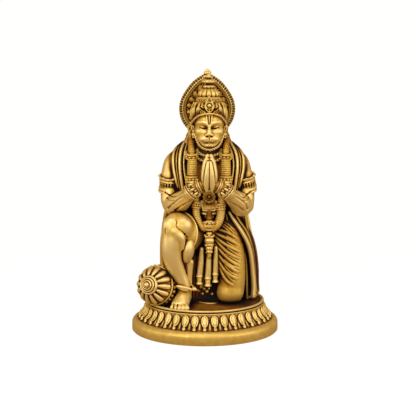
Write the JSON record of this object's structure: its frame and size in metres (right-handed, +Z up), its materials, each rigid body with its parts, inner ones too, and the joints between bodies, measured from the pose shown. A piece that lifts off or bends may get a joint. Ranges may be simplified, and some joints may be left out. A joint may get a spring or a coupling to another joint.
{
  "type": "hanuman figure",
  "caption": "Kneeling monkey-headed devotional figure with joined palms, mace and pointed halo, cast in one with its round lotus plinth. Stands on a shelf or table.",
  "frame": {"origin": "centre of the plinth's underside", "axes": "+Z up, the figure faces -Y, its left hand is towards +X"},
  "size_m": [0.094, 0.094, 0.1669],
  "materials": {
    "antique_gold": "cast resin with a satin metallic gold finish, dark brown patina in the recesses and bright raised edges"
  },
  "bodies": {
    "root": {"kneeling_hanuman": "antique_gold"}
  },
  "joints": []
}
